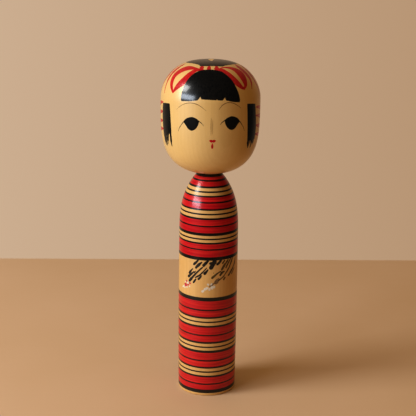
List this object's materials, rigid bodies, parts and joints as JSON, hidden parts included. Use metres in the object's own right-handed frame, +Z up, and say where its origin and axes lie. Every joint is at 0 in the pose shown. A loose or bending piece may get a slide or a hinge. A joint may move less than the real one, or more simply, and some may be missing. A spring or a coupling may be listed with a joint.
{
  "type": "kokeshi doll",
  "caption": "Turned wooden kokeshi doll: a slender striped trunk with a rounded shoulder and a large painted head that turns on a tenon in it.",
  "frame": {"origin": "centre of the flat base that the doll stands on", "axes": "+Z up the turning axis to the crown, the face looks along -Y, +X is to the viewer's right"},
  "size_m": [0.0694, 0.0694, 0.2424],
  "materials": {
    "head_wood": "waxed satin",
    "trunk_wood": "waxed satin",
    "red_dye": "dyed and waxed satin",
    "black_ink": "inked and waxed satin",
    "brown_wash": "thin ink wash under wax",
    "blossom_paint": "brushed colour, matte"
  },
  "bodies": {
    "trunk_body": {"trunk": "trunk_wood"},
    "head_body": {"head": "head_wood"}
  },
  "joints": [
    {"name": "head_turn", "type": "hinge", "parent": "trunk_body", "child": "head_body", "pos_m": [0, 0, 0.1634], "axis": [0, 0, 1], "continuous": true}
  ]
}
